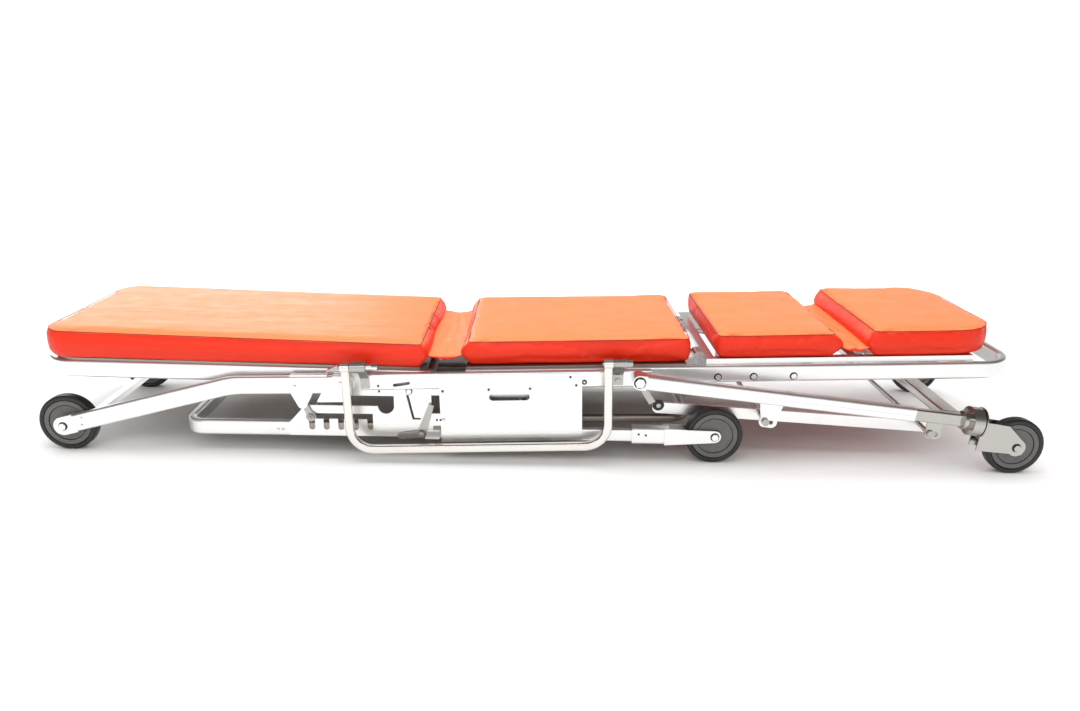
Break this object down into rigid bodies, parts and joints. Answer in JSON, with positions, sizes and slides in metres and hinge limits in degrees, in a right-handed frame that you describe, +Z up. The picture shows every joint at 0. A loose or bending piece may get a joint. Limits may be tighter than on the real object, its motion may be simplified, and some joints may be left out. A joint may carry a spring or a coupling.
{
  "type": "ambulance_stretcher",
  "caption": "Folding ambulance stretcher on six wheels, shown low, with a tilting backrest, a leg rest, folding legs and swing-up guard rails",
  "frame": {"origin": "Bottom centre of the bounding box, on the floor.", "axes": "+X to the foot end, +Y to the far long side, +Z up."},
  "size_m": [2.094, 0.5498, 0.2955],
  "materials": {
    "vinyl": "satin coated vinyl",
    "aluminium": "satin anodised",
    "steel": "brushed",
    "chrome": "polished",
    "tyre": "smooth rubber",
    "wheel_disc": "moulded"
  },
  "bodies": {
    "chassis": {"main_frame": "aluminium", "seat_rail_near": "aluminium", "seat_rail_far": "aluminium", "side_plate_near": "aluminium", "side_plate_far": "aluminium", "cover_panel_near": "aluminium", "cover_panel_far": "aluminium", "lower_frame": "aluminium", "wheel_fork_near": "aluminium", "wheel_fork_far": "aluminium", "cross_tubes": "chrome", "seat_deck": "aluminium", "seat_pad": "vinyl", "guard_bracket_near": "steel", "guard_bracket_far": "steel"},
    "backrest": {"back_frame": "aluminium", "back_deck": "aluminium", "back_pad": "vinyl", "back_web": "vinyl"},
    "leg_rest": {"leg_deck": "aluminium", "calf_pad": "vinyl", "foot_pad": "vinyl", "leg_web": "vinyl"},
    "front_legs": {"front_leg_near": "aluminium", "front_leg_far": "aluminium", "front_cross_bar": "aluminium"},
    "height_rod": {"height_rod": "steel"},
    "height_links": {"height_link_near": "steel", "height_link_far": "steel"},
    "rear_legs": {"rear_leg_near": "aluminium", "rear_leg_far": "aluminium", "rear_stem_near": "chrome", "rear_stem_far": "chrome", "rear_cross_bar": "steel", "rear_pivot_tube": "steel"},
    "lock_bars": {"lock_bar_near": "aluminium", "lock_bar_far": "aluminium", "lock_rods": "steel"},
    "caster_near": {"caster_fork_near": "aluminium"},
    "caster_far": {"caster_fork_far": "aluminium"},
    "rear_wheel_near": {"rear_tyre_near": "tyre", "rear_hub_near": "wheel_disc"},
    "front_wheel_near": {"front_tyre_near": "tyre", "front_hub_near": "wheel_disc"},
    "mid_wheel_near": {"mid_tyre_near": "tyre", "mid_hub_near": "wheel_disc"},
    "rear_wheel_far": {"rear_tyre_far": "tyre", "rear_hub_far": "wheel_disc"},
    "front_wheel_far": {"front_tyre_far": "tyre", "front_hub_far": "wheel_disc"},
    "mid_wheel_far": {"mid_tyre_far": "tyre", "mid_hub_far": "wheel_disc"},
    "release_lever_near": {"release_lever_near": "aluminium"},
    "release_lever_far": {"release_lever_far": "aluminium"},
    "guard_near": {"guard_rail_near": "chrome"},
    "guard_far": {"guard_rail_far": "chrome"},
    "guard_knob_near": {"guard_knob_near": "chrome"},
    "guard_knob_far": {"guard_knob_far": "chrome"}
  },
  "joints": [
    {"name": "backrest_tilt", "type": "hinge", "parent": "chassis", "child": "backrest", "pos_m": [-0.228, 0, 0.173], "axis": [0, 1, 0], "range_deg": [0, 75], "deforming": ["back_web"]},
    {"name": "leg_rest_tilt", "type": "hinge", "parent": "chassis", "child": "leg_rest", "pos_m": [0.33908, 0, 0.21217], "axis": [0, -1, 0], "range_deg": [0, 30]},
    {"name": "front_leg_fold", "type": "hinge", "parent": "chassis", "child": "front_legs", "pos_m": [-0.404, 0, 0.16], "axis": [0, -1, 0], "range_deg": [0, 75]},
    {"name": "height_rod_slide", "type": "slide", "parent": "chassis", "child": "height_rod", "axis": [1, 0, 0], "range_m": [0, 0.12]},
    {"name": "height_link_swing", "type": "hinge", "parent": "height_rod", "child": "height_links", "pos_m": [-0.4735, 0, 0.085], "axis": [0, -1, 0], "range_deg": [0, 135]},
    {"name": "rear_leg_fold", "type": "hinge", "parent": "chassis", "child": "rear_legs", "pos_m": [0.205, 0, 0.187], "axis": [0, 1, 0], "range_deg": [0, 50]},
    {"name": "lock_bar_slide", "type": "slide", "parent": "rear_legs", "child": "lock_bars", "axis": [0.9942, 0, -0.108], "range_m": [0, 0.012]},
    {"name": "caster_swivel_near", "type": "hinge", "parent": "rear_legs", "child": "caster_near", "pos_m": [0.90886, -0.24385, 0.11054], "axis": [0.9942, 0, -0.108], "range_deg": [-110, 110]},
    {"name": "caster_swivel_far", "type": "hinge", "parent": "rear_legs", "child": "caster_far", "pos_m": [0.90886, 0.24385, 0.11054], "axis": [0.9942, 0, -0.108], "range_deg": [-110, 110]},
    {"name": "rear_wheel_near_spin", "type": "hinge", "parent": "caster_near", "child": "rear_wheel_near", "pos_m": [0.987, -0.24385, 0.06], "axis": [0, 1, 0], "continuous": true},
    {"name": "front_wheel_near_spin", "type": "hinge", "parent": "front_legs", "child": "front_wheel_near", "pos_m": [-0.987, -0.19175, 0.06], "axis": [0, 1, 0], "continuous": true},
    {"name": "mid_wheel_near_spin", "type": "hinge", "parent": "chassis", "child": "mid_wheel_near", "pos_m": [0.371, -0.2115, 0.06], "axis": [0, 1, 0], "continuous": true},
    {"name": "rear_wheel_far_spin", "type": "hinge", "parent": "caster_far", "child": "rear_wheel_far", "pos_m": [0.987, 0.24385, 0.06], "axis": [0, 1, 0], "continuous": true},
    {"name": "front_wheel_far_spin", "type": "hinge", "parent": "front_legs", "child": "front_wheel_far", "pos_m": [-0.987, 0.19175, 0.06], "axis": [0, 1, 0], "continuous": true},
    {"name": "mid_wheel_far_spin", "type": "hinge", "parent": "chassis", "child": "mid_wheel_far", "pos_m": [0.371, 0.2115, 0.06], "axis": [0, 1, 0], "continuous": true},
    {"name": "release_near", "type": "hinge", "parent": "chassis", "child": "release_lever_near", "pos_m": [-0.243, -0.2085, 0.051], "axis": [0, 1, 0], "range_deg": [0, 15], "stiffness_Nm_per_rad": 0.5},
    {"name": "release_far", "type": "hinge", "parent": "chassis", "child": "release_lever_far", "pos_m": [-0.243, 0.2085, 0.051], "axis": [0, 1, 0], "range_deg": [0, 15], "stiffness_Nm_per_rad": 0.5},
    {"name": "guard_fold_near", "type": "hinge", "parent": "chassis", "child": "guard_near", "pos_m": [-0.00132, -0.246, 0.21948], "axis": [-0.9995, 0, -0.0314], "range_deg": [0, 180]},
    {"name": "guard_fold_far", "type": "hinge", "parent": "chassis", "child": "guard_far", "pos_m": [-0.00132, 0.246, 0.21948], "axis": [0.9995, 0, 0.0314], "range_deg": [0, 180]},
    {"name": "guard_knob_pull_near", "type": "slide", "parent": "chassis", "child": "guard_knob_near", "axis": [0.9995, 0, 0.0314], "range_m": [0, 0.006], "stiffness_N_per_m": 400, "springref_m": -0.001},
    {"name": "guard_knob_pull_far", "type": "slide", "parent": "chassis", "child": "guard_knob_far", "axis": [0.9995, 0, 0.0314], "range_m": [0, 0.006], "stiffness_N_per_m": 400, "springref_m": -0.001}
  ],
  "couplings": [
    {"joint": "height_rod_slide", "follows": "front_leg_fold", "m_per_rad": 0.091673},
    {"joint": "height_link_swing", "follows": "front_leg_fold", "ratio": 1.8}
  ]
}
